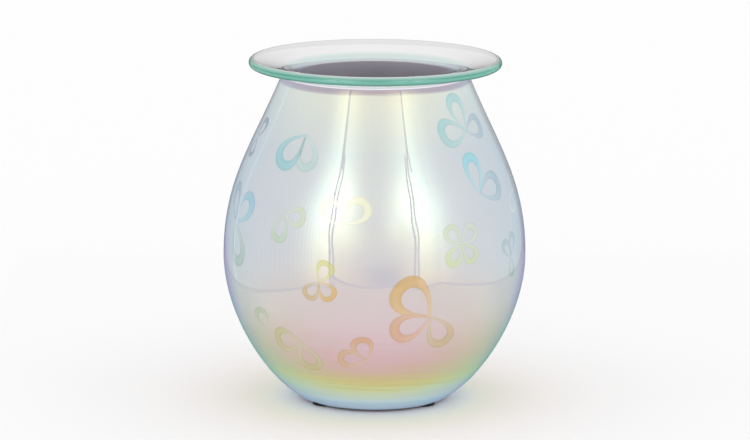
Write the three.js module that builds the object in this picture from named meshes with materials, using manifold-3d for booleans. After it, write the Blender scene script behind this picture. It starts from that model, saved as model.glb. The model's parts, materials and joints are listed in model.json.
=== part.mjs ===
// Electric oil burner: a lustred glass shade that sits on a black housing, a halogen lamp inside it,
// and a clear glass dish for scented oil that lies loose on the mouth of the shade.
// Millimetres, +Z up. The table is z = 0, the front is -Y and the cord leaves at +Y.
import * as THREE from "three";
import { mergeVertices } from "three/addons/utils/BufferGeometryUtils.js";
import Module from "manifold-3d";

const wasm = await Module();
wasm.setup();

// Facets round the large, middle and small pieces
const largeSides = 40;
const middleSides = 24;
const smallSides = 10;
const arcSteps = 4; // facets in a quarter turn of a flat outline
const leadSteps = 16; // along each lead
const curveSteps = 10; // along each half of the shade's wall
const rimSteps = 5; // over the shade's rim
const rampSteps = 8; // down the slope of the dish
const bowlSteps = 9; // along the lamp's reflector

// Clearances
const gap = 0.3; // between pieces that are put together
const leadGap = 0.6; // round a lead in its hole

// Glass shade: an egg cut off at both ends, drawn as two curves that meet at the belly
const bellyDiameter = 125;
const bellyHeight = 59.4; // above the foot ring
const shadeHeight = 134.4;
const rimDiameter = 77.6;
const footDiameter = 61.6;
const glassWall = 3;
const footFlare = 29.4; // degrees above the table at which the wall leaves the foot
const rimLean = 22.3; // degrees that the shoulder leans in
const footPull = 16.8; // reach of each curve's handle
const lowerBellyPull = 24.8;
const upperBellyPull = 30.8;
const rimPull = 30;
const footRingWidth = 1.7;
const seatWidth = 4.2; // ledge of glass that sits on the housing's flange

// Oil dish: a round sheet of float glass that has sagged into a well
const dishDiameter = 104.6;
const dishThickness = 3.1;
const wellInset = 5; // the flat of the well ends this far inside the mouth
const wellRamp = 8; // width of the slope round the well
const wellDepth = 3.8;
const dishRimRise = 3;
const dishEdgeRound = 1.3;

// Feet and cover
const footBearing = 52; // degrees from the front or the back to each foot
const padDiameter = 9.2;
const padHeight = 0.9;
const padEase = 0.3; // bevel round the sole
const padStemDiameter = 4;
const coverThickness = 2;
const coverScrewHeadRecess = 1.1;

// Housing
const flangeThickness = 1.2;
const sealThickness = 0.8;
const housingWall = 2;
const bossDiameter = 7;
const bossBite = 0.5; // how far a boss runs into the housing's wall

// Clips, one at the front and two towards the back
const clipCount = 3;
const clipWidth = 6;
const clipThickness = 0.6;
const clipOverhang = 1.2; // past the housing's edge, before it turns down
const clipSpread = 2.4; // how far the leg leans out on its way down
const clipToe = 2.2;

// Screws
const coverScrewLength = 6;
const clipScrewLength = 5.5;
const bracketScrewLength = 6;
const holderScrewLength = 7;
const screwHeadDiameter = 5;
const screwHeadHeight = 1.6;
const screwHeadFlat = 3.5; // across the top of the head
const screwShankDiameter = 2.8;
const flatHeadHeight = 0.9;

// Lamp bracket
const bracketHeight = 12;
const bracketWidth = 12;
const bracketThickness = 1.2;
const bracketFootLength = 7;
const bracketScrewInset = 3.2; // from the end of the foot
const bracketBossDiameter = 6;
const bracketBossHeight = 5;

// Lamp holder, with two keyholes that the lamp's pins turn in
const holderDiameter = 25;
const holderHeight = 22;
const lipThickness = 2.8;
const contactRoom = 1.8; // under the pins
const contactThickness = 0.4;
const contactWidth = 3;
const contactLength = 3.6;
const leafReach = 1.2; // folded end of a contact, past its middle
const holderScrewSpacing = 6.4;
const leadEntryDepth = 3;
const edgeEase = 1; // bevel on the holder and on the lamp's cap

// Lamp
const lampDiameter = 50;
const lampLength = 50;
const capDiameter = 22;
const capHeight = 14;
const neckDiameter = 19;
const bowlSwell = 45.2; // width that the reflector's curve is drawn out to
const reflectorWall = 1.5;
const lensThickness = 2.2;
const lensCrown = 0.8;
const pinSpacing = 10;
const pinLength = 7;
const pinShaftDiameter = 3.4;
const pinHeadDiameter = 5;
const pinHeadHeight = 2.5;
const lockAngle = 35; // degrees from locked to the keyhole's wide end
const capsuleDiameter = 8.4;
const capsulePinch = 6;
const capsuleLength = 24;

// Wiring
const leadDiameter = 1.8;
const leadSpacing = 8;
const leadRoom = 2; // between the bracket's side and the leads
const blockLength = 17;
const blockDepth = 10;
const blockHeight = 8.5;
const blockShoulder = 1.4; // step from the block's base to its crown
const blockBase = 2.6;
const blockGroove = 1.6;
const terminalScrewDiameter = 2.6;
const terminalScrewLength = 2.6;
const terminalScrewSpacing = 3.8;

// Cord inlet
const bushBore = 6.4;
const bushWall = 1.1;
const bushCollarWidth = 1;
const bushCollarLength = 2.4;
const bushProud = 1.5; // past the glass, on the outside

// Heights that follow from the stack, from the table up
const shadeBase = padHeight + gap;
const coverTop = padHeight + coverThickness;
const flangeTop = coverTop + flangeThickness;
const seatBottom = flangeTop + sealThickness;
const seatTop = seatBottom + glassWall;
const bushRadius = bushBore / 2 + bushWall;
const collarRadius = bushRadius + bushCollarWidth;
const bushHeight = coverTop + gap + collarRadius;
const housingRoom = Math.max(2 * collarRadius + 2 * gap, blockHeight + 2 * gap);
const roofBottom = coverTop + housingRoom;
const roofTop = roofBottom + housingWall;
const bridgeTop = roofTop + bracketHeight;
const holderTop = bridgeTop + holderHeight;
const lampBase = holderTop + gap;

// Radii that follow from the foot of the glass
const footRadius = footDiameter / 2;
const ringInner = footRadius - footRingWidth;
const flangeRadius = ringInner - gap;
const holeRadius = flangeRadius - seatWidth;
const housingRadius = holeRadius - gap;
const housingInner = housingRadius - housingWall;
const bossPlace = housingInner - bossDiameter / 2 + bossBite;
const clipInnerEnd = bossPlace - screwHeadDiameter / 2 - gap;
const bracketEnd = Math.sqrt((clipInnerEnd - gap) ** 2 - (bracketWidth / 2) ** 2);
const bracketLeg = bracketEnd - bracketFootLength;
const bracketScrewPlace = bracketEnd - bracketScrewInset;
const padPlace = footRadius - padDiameter / 2;
const leadPlace = -(bracketWidth / 2 + leadRoom + leadDiameter / 2);
const pinPlace = pinSpacing / 2;
const screwHole = screwShankDiameter + 2 * gap;

// Materials
function finish(color, roughness, metalness) {
  return new THREE.MeshStandardMaterial({ color, roughness, metalness });
}

const lustreGlass = finish(0xd6dbe0, 0.08, 0.35);
const floatGlass = finish(0xc9e2d8, 0.04, 0);
const blackPlastic = finish(0x17171a, 0.5, 0);
const blackRubber = finish(0x101012, 0.8, 0);
const clearSilicone = finish(0xd9d9d4, 0.6, 0);
const springSteel = finish(0xb9bcc0, 0.3, 1);
const zincSteel = finish(0xa9adb2, 0.38, 1);
const whiteCeramic = finish(0xe9e6dd, 0.45, 0);
const brass = finish(0xc8a24a, 0.3, 1);
const mirrorCoat = finish(0xd4d6d8, 0.08, 1);
const lampGlass = finish(0xe6ecee, 0.04, 0);
const whitePlastic = finish(0xe4e2da, 0.5, 0);
const brownLead = finish(0x5a3420, 0.5, 0);
const blueLead = finish(0x2b5aa0, 0.5, 0);

const degrees = Math.PI / 180;

// Solid of revolution about Z. The profile runs counter-clockwise as [radius, height] and starts
// and ends on the axis, or closes on itself.
function revolve(profile, sides) {
  const points = profile.map(([radius, height]) => new THREE.Vector2(radius, height));
  return new THREE.LatheGeometry(points, sides).rotateX(Math.PI / 2);
}

function ring(profile, sides) {
  return revolve([...profile, profile[0]], sides);
}

function disc(radius, bottom, top, sides) {
  return revolve([[0, bottom], [radius, bottom], [radius, top], [0, top]], sides);
}

// Flat outline pulled up along Z, from bottom to top.
function pull(outline, bottom, top) {
  const geometry = new THREE.ExtrudeGeometry(outline, {
    depth: top - bottom,
    bevelEnabled: false,
    curveSegments: arcSteps,
  });
  return geometry.translate(0, 0, bottom);
}

// Outline in X and Z, pulled along Y from back to front, centred on y = 0.
function pullAcross(outline, width) {
  return pull(outline, -width / 2, width / 2).rotateX(Math.PI / 2);
}

// Outline of a bent strip of sheet metal that runs along the given centre line.
function strip(line, thickness) {
  const points = line.map(([x, y]) => new THREE.Vector2(x, y));
  const sides = points.map((point, i) => {
    const before = points[Math.max(i - 1, 0)];
    const after = points[Math.min(i + 1, points.length - 1)];
    const arriving = (i ? point.clone().sub(before) : after.clone().sub(point)).normalize();
    const leaving = (point === after ? arriving.clone() : after.clone().sub(point)).normalize();
    const mitre = arriving.clone().add(leaving).normalize();
    const reach = thickness / 2 / mitre.dot(arriving);
    return new THREE.Vector2(-mitre.y, mitre.x).multiplyScalar(reach);
  });
  const left = points.map((point, i) => point.clone().add(sides[i]));
  const right = points.map((point, i) => point.clone().sub(sides[i]));
  return new THREE.Shape([...right, ...left.reverse()]);
}

// Slot of the given width that bends round the Z axis, with round ends.
function arcSlot(radius, width, from, to) {
  const half = width / 2;
  const slot = new THREE.Shape();
  const roundEnd = (at, turn) => {
    slot.absarc(radius * Math.cos(at), radius * Math.sin(at), half, turn, turn + Math.PI, false);
  };
  slot.absarc(0, 0, radius + half, from, to, false);
  roundEnd(to, to);
  slot.absarc(0, 0, radius - half, to, from, true);
  roundEnd(from, from + Math.PI);
  return slot;
}

// Closed mesh as a solid: shared corners are merged and triangles that collapse on the axis dropped.
function solid(geometry) {
  const bare = geometry.index ? geometry.toNonIndexed() : geometry.clone();
  bare.deleteAttribute("normal");
  bare.deleteAttribute("uv");
  const merged = mergeVertices(bare, 1e-4);
  const corners = merged.index.array;
  const kept = [];
  for (let i = 0; i < corners.length; i += 3) {
    const [a, b, c] = corners.slice(i, i + 3);
    if (a !== b && b !== c && c !== a) kept.push(a, b, c);
  }
  const mesh = new wasm.Mesh({
    numProp: 3,
    vertProperties: new Float32Array(merged.attributes.position.array),
    triVerts: new Uint32Array(kept),
  });
  return new wasm.Manifold(mesh);
}

function surface(body) {
  const mesh = body.getMesh();
  const geometry = new THREE.BufferGeometry();
  geometry.setAttribute("position", new THREE.BufferAttribute(mesh.vertProperties, 3));
  geometry.setIndex(new THREE.BufferAttribute(mesh.triVerts, 1));
  geometry.computeVertexNormals();
  return geometry;
}

function cut(geometry, tools) {
  return surface(tools.reduce((body, tool) => body.subtract(solid(tool)), solid(geometry)));
}

function join(geometry, additions) {
  return surface(additions.reduce((body, addition) => body.add(solid(addition)), solid(geometry)));
}

function piece(name, geometry, material) {
  const mesh = new THREE.Mesh(geometry, material.clone());
  mesh.name = name;
  return mesh;
}

function assembly(...children) {
  return new THREE.Group().add(...children);
}

// Places at equal bearings round the axis, from the first bearing on.
function around(count, radius, first) {
  return Array.from({ length: count }, (_, i) => {
    const bearing = (first + (i * 360) / count) * degrees;
    return { x: radius * Math.cos(bearing), y: radius * Math.sin(bearing), bearing };
  });
}

// Height of a line of [radius, height] points at a radius.
function heightAt(line, radius) {
  const next = line.findIndex(([r], i) => i > 0 && r >= radius);
  const [r0, h0] = line[next - 1];
  const [r1, h1] = line[next];
  return h0 + ((h1 - h0) * (radius - r0)) / (r1 - r0);
}

const clipPlaces = around(clipCount, bossPlace, -90);
const footBearings = [-90, 90].flatMap((middle) => [middle + footBearing, middle - footBearing]);

// Glass shade

const rimLeanAngle = rimLean * degrees;
const rimEdge = shadeHeight - (glassWall / 2) * (1 - Math.sin(rimLeanAngle));
const lowerCurve = new THREE.CubicBezierCurve(
  new THREE.Vector2(footRadius, 0),
  new THREE.Vector2(
    footRadius + footPull * Math.cos(footFlare * degrees),
    footPull * Math.sin(footFlare * degrees),
  ),
  new THREE.Vector2(bellyDiameter / 2, bellyHeight - lowerBellyPull),
  new THREE.Vector2(bellyDiameter / 2, bellyHeight),
);
const upperCurve = new THREE.CubicBezierCurve(
  new THREE.Vector2(bellyDiameter / 2, bellyHeight),
  new THREE.Vector2(bellyDiameter / 2, bellyHeight + upperBellyPull),
  new THREE.Vector2(
    rimDiameter / 2 + rimPull * Math.sin(rimLeanAngle),
    rimEdge - rimPull * Math.cos(rimLeanAngle),
  ),
  new THREE.Vector2(rimDiameter / 2, rimEdge),
);

// Points along a curve, moved sideways by the distance: to the left as the curve runs.
function offsetPoints(curve, steps, distance) {
  return Array.from({ length: steps + 1 }, (_, i) => {
    const point = curve.getPoint(i / steps);
    const tangent = curve.getTangent(i / steps);
    return [point.x - tangent.y * distance, point.y + tangent.x * distance];
  });
}

const outerWall = [
  ...offsetPoints(lowerCurve, curveSteps, 0),
  ...offsetPoints(upperCurve, curveSteps, 0).slice(1),
];
const innerWall = [
  ...offsetPoints(lowerCurve, curveSteps, glassWall),
  ...offsetPoints(upperCurve, curveSteps, glassWall).slice(1),
];
const rimCentre = [0, 1].map((i) => (outerWall.at(-1)[i] + innerWall.at(-1)[i]) / 2);
const rimArc = Array.from({ length: rimSteps - 1 }, (_, i) => {
  const angle = rimLeanAngle + ((i + 1) / rimSteps) * Math.PI;
  return [
    rimCentre[0] + (glassWall / 2) * Math.cos(angle),
    rimCentre[1] + (glassWall / 2) * Math.sin(angle),
  ];
});
const ledge = seatTop - shadeBase;
const recess = seatBottom - shadeBase;
const shadeProfile = [
  [holeRadius, recess],
  [ringInner, recess],
  [ringInner, 0],
  ...outerWall,
  ...rimArc,
  ...innerWall.filter(([, height]) => height > ledge + gap).reverse(),
  [heightAt(innerWall.map(([r, h]) => [h, r]), ledge), ledge],
  [holeRadius, ledge],
];
const bushEnd = heightAt(outerWall.map(([r, h]) => [h, r]), bushHeight - shadeBase) + bushProud;

// Inverted U that clears the bush, from inside the housing out past the glass.
function bushSlot() {
  const half = bushRadius + gap;
  const outline = new THREE.Shape();
  outline.absarc(0, bushHeight, half, 0, Math.PI, false);
  outline.lineTo(-half, -half);
  outline.lineTo(half, -half);
  const length = bellyDiameter / 2;
  return pullAcross(outline, length).translate(0, housingInner - bossBite + length / 2, 0);
}

const glassShade = cut(ring(shadeProfile, largeSides).translate(0, 0, shadeBase), [bushSlot()]);

// Oil dish, lowered onto the rim until it lies one clearance above it

const mouthRadius = innerWall.at(-1)[0];
const wellRadius = mouthRadius - wellInset;
const dishRadius = dishDiameter / 2;
const dishSlope = Math.atan2(dishRimRise, dishRadius - wellRadius - wellRamp);
const rampEnd = new THREE.Vector2(wellRadius + wellRamp, wellDepth);
const ramp = new THREE.CubicBezierCurve(
  new THREE.Vector2(wellRadius, 0),
  new THREE.Vector2(wellRadius + wellRamp / 2, 0),
  new THREE.Vector2(
    rampEnd.x - (wellRamp / 2) * Math.cos(dishSlope),
    rampEnd.y - (wellRamp / 2) * Math.sin(dishSlope),
  ),
  rampEnd,
);
const dishUnder = [
  ...offsetPoints(ramp, rampSteps, 0),
  [dishRadius, wellDepth + dishRimRise],
];
const slant = [-Math.sin(dishSlope) * dishThickness, Math.cos(dishSlope) * dishThickness];
const dishOver = [
  ...offsetPoints(ramp, rampSteps, dishThickness),
  [dishRadius + slant[0], wellDepth + dishRimRise + slant[1]],
];

// Rounds a corner of a profile with three points, from one side of it to the other.
function rounded(before, corner, after, reach) {
  const towards = (to) => {
    const length = Math.hypot(to[0] - corner[0], to[1] - corner[1]);
    return [0, 1].map((i) => corner[i] + ((to[i] - corner[i]) * reach) / length);
  };
  const [a, b] = [towards(before), towards(after)];
  const middle = [0, 1].map((i) => (a[i] + b[i]) / 4 + corner[i] / 2);
  return [a, middle, b];
}

const underEdge = dishUnder.at(-1);
const overEdge = dishOver.at(-1);
const dishProfile = [
  [0, 0],
  ...dishUnder.slice(0, -1),
  ...rounded(dishUnder.at(-2), underEdge, overEdge, dishEdgeRound),
  ...rounded(underEdge, overEdge, dishOver.at(-2), dishEdgeRound),
  ...dishOver.slice(0, -1).reverse(),
  [0, dishThickness],
];
const underLine = [[0, 0], ...dishUnder];
const dishBase = Math.max(...rimArc.map(([r, h]) => shadeBase + h - heightAt(underLine, r))) + gap;
const oilDish = revolve(dishProfile, largeSides).translate(0, 0, dishBase);

// Screws, with the underside of the head at z = 0 and the shank below it

function screw(name, headHeight, length) {
  const head = screwHeadDiameter / 2;
  const shank = screwShankDiameter / 2;
  const profile = [
    [0, -length],
    [shank, -length + shank],
    [shank, 0],
    [head, 0],
    [head, headHeight / 2],
    [screwHeadFlat / 2, headHeight],
    [0, headHeight],
  ];
  return piece(name, revolve(profile, smallSides), zincSteel);
}

function drill(diameter, x, y, bottom, top) {
  return disc(diameter / 2, bottom, top, smallSides).translate(x, y, 0);
}

// Base: feet, cover, housing, seal and clips

const footPlaces = footBearings.map((bearing) => ({
  x: padPlace * Math.cos(bearing * degrees),
  y: padPlace * Math.sin(bearing * degrees),
}));

const padRadius = padDiameter / 2;
const padProfile = [
  [0, 0],
  [padRadius - padEase, 0],
  [padRadius, padEase],
  [padRadius, padHeight],
  [padStemDiameter / 2, padHeight],
  [padStemDiameter / 2, coverTop - gap],
  [0, coverTop - gap],
];
const feet = footPlaces.map(({ x, y }, i) => {
  const foot = piece(`rubber_foot_${i + 1}`, revolve(padProfile, middleSides), blackRubber);
  foot.position.set(x, y, 0);
  return foot;
});

const coverSeat = padHeight + coverScrewHeadRecess;
const baseCover = cut(disc(flangeRadius, padHeight, coverTop, largeSides), [
  ...footPlaces.map(({ x, y }) => drill(padStemDiameter + 2 * gap, x, y, 0, roofTop)),
  ...clipPlaces.map(({ x, y }) => drill(screwHole, x, y, 0, roofTop)),
  ...clipPlaces.map(({ x, y }) => drill(screwHeadDiameter + 2 * gap, x, y, 0, coverSeat)),
]);
const coverScrews = clipPlaces.map(({ x, y }, i) => {
  const fastener = screw(`cover_screw_${i + 1}`, flatHeadHeight, coverScrewLength);
  fastener.position.set(x, y, coverSeat);
  fastener.rotation.x = Math.PI;
  return fastener;
});

const housingProfile = [
  [0, roofBottom],
  [housingInner, roofBottom],
  [housingInner, coverTop],
  [flangeRadius, coverTop],
  [flangeRadius, flangeTop],
  [housingRadius, flangeTop],
  [housingRadius, roofTop],
  [0, roofTop],
];
const bracketPlaces = [bracketScrewPlace, -bracketScrewPlace];
const leadPlaces = [leadSpacing / 2, -leadSpacing / 2];
const housingShell = join(revolve(housingProfile, largeSides), [
  ...clipPlaces.map(({ x, y }) => drill(bossDiameter, x, y, coverTop, roofTop - housingWall / 2)),
  ...bracketPlaces.map((x) => {
    return drill(bracketBossDiameter, x, 0, roofBottom - bracketBossHeight, roofTop - housingWall / 2);
  }),
]);
const baseTray = cut(housingShell, [
  ...clipPlaces.map(({ x, y }) => drill(screwHole, x, y, 0, coverSeat + coverScrewLength + gap)),
  ...clipPlaces.map(({ x, y }) => {
    return drill(screwHole, x, y, roofTop + clipThickness - clipScrewLength - gap, bridgeTop);
  }),
  ...bracketPlaces.map((x) => {
    return drill(screwHole, x, 0, roofTop + bracketThickness - bracketScrewLength - gap, bridgeTop);
  }),
  ...leadPlaces.map((x) => drill(leadDiameter + 2 * leadGap, x, leadPlace, roofBottom - gap, bridgeTop)),
  bushSlot(),
]);

const sealProfile = [
  [housingRadius + gap, flangeTop],
  [flangeRadius - gap, flangeTop],
  [flangeRadius - gap, seatBottom],
  [housingRadius + gap, seatBottom],
];
const shadeSeal = cut(ring(sealProfile, largeSides), [bushSlot()]);

const clipShoulder = housingRadius + clipOverhang;
const clipToeHeight = seatTop + gap + clipThickness / 2;
const clipLine = [
  [clipInnerEnd, roofTop + clipThickness / 2],
  [clipShoulder, roofTop + clipThickness / 2],
  [clipShoulder + clipSpread, clipToeHeight],
  [clipShoulder + clipSpread + clipToe, clipToeHeight],
];
const clipBlank = cut(pullAcross(strip(clipLine, clipThickness), clipWidth), [
  drill(screwHole, bossPlace, 0, roofTop - gap, bridgeTop),
]);
const clips = clipPlaces.map(({ x, y, bearing }, i) => {
  const clip = piece(`shade_clip_${i + 1}`, clipBlank.clone(), springSteel);
  clip.rotation.z = bearing;
  const fastener = screw(`clip_screw_${i + 1}`, screwHeadHeight, clipScrewLength);
  fastener.position.set(x, y, roofTop + clipThickness);
  return assembly(clip, fastener);
});

// Cord bush: a sleeve with a collar inside the housing's wall

const collarEnd = Math.sqrt(housingInner ** 2 - collarRadius ** 2) - gap;
const bushProfile = [
  [bushBore / 2, collarEnd - bushCollarLength],
  [collarRadius, collarEnd - bushCollarLength],
  [collarRadius, collarEnd],
  [bushRadius, collarEnd],
  [bushRadius, bushEnd - bushWall / 2],
  [bushRadius - bushWall / 2, bushEnd],
  [bushBore / 2, bushEnd],
];
const cordBush = piece("cord_bush", ring(bushProfile, middleSides), blackRubber);
cordBush.rotation.x = -Math.PI / 2;
cordBush.position.z = bushHeight;

// Terminal block, which hangs from the housing's roof, and its screws

const blockFront = bracketBossDiameter / 2 + gap;
const blockMiddle = blockFront + blockDepth / 2;
const blockBottom = roofBottom - blockHeight;
const crownHalf = blockDepth / 2 - blockShoulder;
const blockOutline = new THREE.Shape();
blockOutline.moveTo(-crownHalf, blockBottom);
blockOutline.lineTo(crownHalf, blockBottom);
blockOutline.lineTo(crownHalf, roofBottom - blockBase);
blockOutline.lineTo(blockDepth / 2, roofBottom - blockBase);
blockOutline.lineTo(blockDepth / 2, roofBottom);
blockOutline.lineTo(-blockDepth / 2, roofBottom);
blockOutline.lineTo(-blockDepth / 2, roofBottom - blockBase);
blockOutline.lineTo(-crownHalf, roofBottom - blockBase);
const wireBore = leadDiameter + 2 * gap;
const wireHeight = blockBottom + terminalScrewLength + gap + wireBore / 2;
const blockBar = pullAcross(blockOutline, blockLength).rotateZ(Math.PI / 2);
const terminalPlaces = leadPlaces.flatMap((x) => {
  return [-1, 1].map((side) => ({ x, y: (side * terminalScrewSpacing) / 2 }));
});
const terminalBlock = cut(blockBar, [
  ...leadPlaces.map((x) => disc(wireBore / 2, -blockDepth, blockDepth, smallSides).rotateX(Math.PI / 2)
    .translate(x, 0, wireHeight)),
  ...terminalPlaces.map(({ x, y }) => drill(terminalScrewDiameter + 2 * gap, x, y, 0, wireHeight)),
  new THREE.BoxGeometry(blockGroove, 2 * blockDepth, blockHeight).translate(0, 0, blockBottom),
]).translate(0, blockMiddle, 0);
const terminalScrews = terminalPlaces.map(({ x, y }, i) => {
  const body = disc(terminalScrewDiameter / 2, blockBottom, blockBottom + terminalScrewLength, smallSides);
  const fastener = piece(`terminal_screw_${i + 1}`, body, brass);
  fastener.position.set(x, y + blockMiddle, 0);
  return fastener;
});

// Leads, from the block forwards, up through the roof and into the underside of the holder

function lead(name, x, material) {
  const bend = (roofBottom - wireHeight) / 2;
  const route = new THREE.CatmullRomCurve3(
    [
      new THREE.Vector3(x, blockFront + blockShoulder + leadDiameter, wireHeight),
      new THREE.Vector3(x, blockFront, wireHeight),
      new THREE.Vector3(x, leadPlace + 2 * bend, wireHeight),
      new THREE.Vector3(x, leadPlace + bend / 2, wireHeight + bend / 2),
      new THREE.Vector3(x, leadPlace, roofBottom),
      new THREE.Vector3(x, leadPlace, roofTop),
      new THREE.Vector3(x, leadPlace, bridgeTop + leadEntryDepth - gap),
    ],
    false,
    "centripetal",
  );
  const section = new THREE.Shape();
  section.absarc(0, 0, leadDiameter / 2, 0, 2 * Math.PI, false);
  const tube = new THREE.ExtrudeGeometry(section, {
    steps: leadSteps,
    curveSegments: arcSteps,
    extrudePath: route,
  });
  return piece(name, tube, material);
}

// Lamp bracket and holder

const bridgeMiddle = bridgeTop - bracketThickness / 2;
const bracketFloor = roofTop + bracketThickness / 2;
const bracketLine = [
  [-bracketEnd, bracketFloor],
  [-bracketLeg, bracketFloor],
  [-bracketLeg, bridgeMiddle],
  [bracketLeg, bridgeMiddle],
  [bracketLeg, bracketFloor],
  [bracketEnd, bracketFloor],
];
const holderPlaces = [holderScrewSpacing / 2, -holderScrewSpacing / 2];
const bracketBlank = pullAcross(strip(bracketLine, bracketThickness), bracketWidth);
const lampBracket = cut(bracketBlank, [
  ...bracketPlaces.map((x) => drill(screwHole, x, 0, roofTop - gap, roofTop + 2 * bracketThickness)),
  ...holderPlaces.map((y) => drill(screwHole, 0, y, bridgeTop - 2 * bracketThickness, holderTop)),
]);
const bracketScrews = bracketPlaces.map((x, i) => {
  const fastener = screw(`bracket_screw_${i + 1}`, screwHeadHeight, bracketScrewLength);
  fastener.position.set(x, 0, roofTop + bracketThickness);
  return fastener;
});
const holderScrews = holderPlaces.map((y, i) => {
  const fastener = screw(`holder_screw_${i + 1}`, screwHeadHeight, holderScrewLength);
  fastener.position.set(0, y, bridgeTop - bracketThickness);
  fastener.rotation.x = Math.PI;
  return fastener;
});

// Each keyhole: a wide entry, a narrow slot in the lip, and a cavity below for the head of the pin.
const cavityFloor = holderTop + gap - pinLength - contactRoom;
function keyhole(start) {
  const end = start + lockAngle * degrees;
  const headSlot = pinHeadDiameter + 2 * gap;
  const shaftSlot = pinShaftDiameter + 2 * gap;
  const entry = { x: pinPlace * Math.cos(end), y: pinPlace * Math.sin(end) };
  return [
    pull(arcSlot(pinPlace, headSlot, start, end), cavityFloor, holderTop - lipThickness),
    pull(arcSlot(pinPlace, shaftSlot, start, end), cavityFloor, holderTop + gap),
    drill(headSlot, entry.x, entry.y, cavityFloor, holderTop + gap),
  ];
}

const holderRadius = holderDiameter / 2;
const holderProfile = [
  [0, bridgeTop],
  [holderRadius, bridgeTop],
  [holderRadius, holderTop - edgeEase],
  [holderRadius - edgeEase, holderTop],
  [0, holderTop],
];
const pinBearings = [0, Math.PI];
const lampHolder = cut(revolve(holderProfile, middleSides), [
  ...pinBearings.flatMap(keyhole),
  ...holderPlaces.map((y) => {
    return drill(screwHole, 0, y, 0, bridgeTop - bracketThickness + holderScrewLength + gap);
  }),
  ...leadPlaces.map((x) => drill(leadDiameter + 2 * leadGap, x, leadPlace, 0, bridgeTop + leadEntryDepth)),
]);

// Contact: a leaf folded back over itself, on the floor of the cavity under a locked pin.
const leafTop = contactRoom - gap - contactThickness / 2;
const leafLine = [
  [-contactLength / 2, contactThickness / 2],
  [contactLength / 2, contactThickness / 2],
  [contactLength / 2, leafTop],
  [-leafReach, leafTop],
];
const contacts = pinBearings.map((bearing, i) => {
  const leaf = pullAcross(strip(leafLine, contactThickness), contactWidth).rotateZ(Math.PI / 2);
  const contact = piece(`holder_contact_${i + 1}`, leaf, brass);
  contact.position.set(pinPlace * Math.cos(bearing), pinPlace * Math.sin(bearing), cavityFloor);
  contact.rotation.z = bearing;
  return contact;
});

// Lamp, in its own group with the cap's face at z = 0

const capRadius = capDiameter / 2;
const neckRadius = neckDiameter / 2;
const lampRadius = lampDiameter / 2;
const lensBottom = lampLength - lensThickness - lensCrown;
const capProfile = [
  [0, 0],
  [capRadius - edgeEase, 0],
  [capRadius, edgeEase],
  [capRadius, capHeight / 2],
  [neckRadius, capHeight],
  [0, capHeight],
];
const bowl = new THREE.QuadraticBezierCurve(
  new THREE.Vector2(neckRadius, capHeight),
  new THREE.Vector2(bowlSwell / 2, (capHeight + lensBottom) / 2),
  new THREE.Vector2(lampRadius, lensBottom),
);
const bowlInside = offsetPoints(bowl, bowlSteps, reflectorWall).slice(1, -1);
const bowlFloor = capHeight + reflectorWall;
const reflectorProfile = [
  [capsuleDiameter / 2 + gap, capHeight],
  ...offsetPoints(bowl, bowlSteps, 0),
  [lampRadius - reflectorWall, lensBottom],
  ...bowlInside.filter(([, height]) => height > bowlFloor + gap).reverse(),
  [neckRadius - reflectorWall, bowlFloor],
  [capsuleDiameter / 2 + gap, bowlFloor],
];
const lensProfile = [
  [0, lensBottom],
  [lampRadius, lensBottom],
  [lampRadius, lensBottom + lensThickness / 2],
  [lampRadius - lensThickness / 2, lensBottom + lensThickness],
  [lampRadius / 2, lampLength - lensCrown / 4],
  [0, lampLength],
];
const tip = capsuleDiameter / 2;
const capsuleProfile = [
  [0, capHeight],
  [capsulePinch / 2, capHeight],
  [tip, capHeight + tip],
  [tip, capHeight + capsuleLength - tip],
  [tip * Math.SQRT1_2, capHeight + capsuleLength - tip * (1 - Math.SQRT1_2)],
  [0, capHeight + capsuleLength],
];
const pinProfile = [
  [0, -pinLength],
  [pinHeadDiameter / 2, -pinLength],
  [pinHeadDiameter / 2, pinHeadHeight - pinLength],
  [pinShaftDiameter / 2, pinHeadHeight - pinLength],
  [pinShaftDiameter / 2, 0],
  [0, 0],
];
const pins = pinBearings.map((bearing, i) => {
  const pin = piece(`bulb_pin_${i + 1}`, revolve(pinProfile, smallSides), zincSteel);
  pin.position.set(pinPlace * Math.cos(bearing), pinPlace * Math.sin(bearing), 0);
  return pin;
});
const lamp = assembly(
  piece("bulb_cap", revolve(capProfile, middleSides), whiteCeramic),
  piece("bulb_reflector", ring(reflectorProfile, middleSides), mirrorCoat),
  piece("bulb_capsule", revolve(capsuleProfile, smallSides), lampGlass),
  piece("bulb_lens", revolve(lensProfile, middleSides), lampGlass),
  ...pins,
);
lamp.position.z = lampBase;

const base = assembly(
  piece("base_tray", baseTray, blackPlastic),
  piece("base_cover", baseCover, blackPlastic),
  piece("shade_seal", shadeSeal, clearSilicone),
  ...feet,
  ...coverScrews,
  ...clips,
  cordBush,
);

const lampMount = assembly(
  piece("lamp_bracket", lampBracket, zincSteel),
  piece("lamp_holder", lampHolder, whiteCeramic),
  ...bracketScrews,
  ...holderScrews,
  ...contacts,
);

const wiring = assembly(
  piece("terminal_block", terminalBlock, whitePlastic),
  ...terminalScrews,
  lead("lead_live", leadPlaces[0], brownLead),
  lead("lead_neutral", leadPlaces[1], blueLead),
);

const electricOilBurner = assembly(
  piece("glass_shade", glassShade, lustreGlass),
  piece("oil_dish", oilDish, floatGlass),
  base,
  lampMount,
  wiring,
  lamp,
);

export default electricOilBurner;
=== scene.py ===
import json
import math

import bpy
import numpy as np
from mathutils import Matrix, Vector


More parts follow.
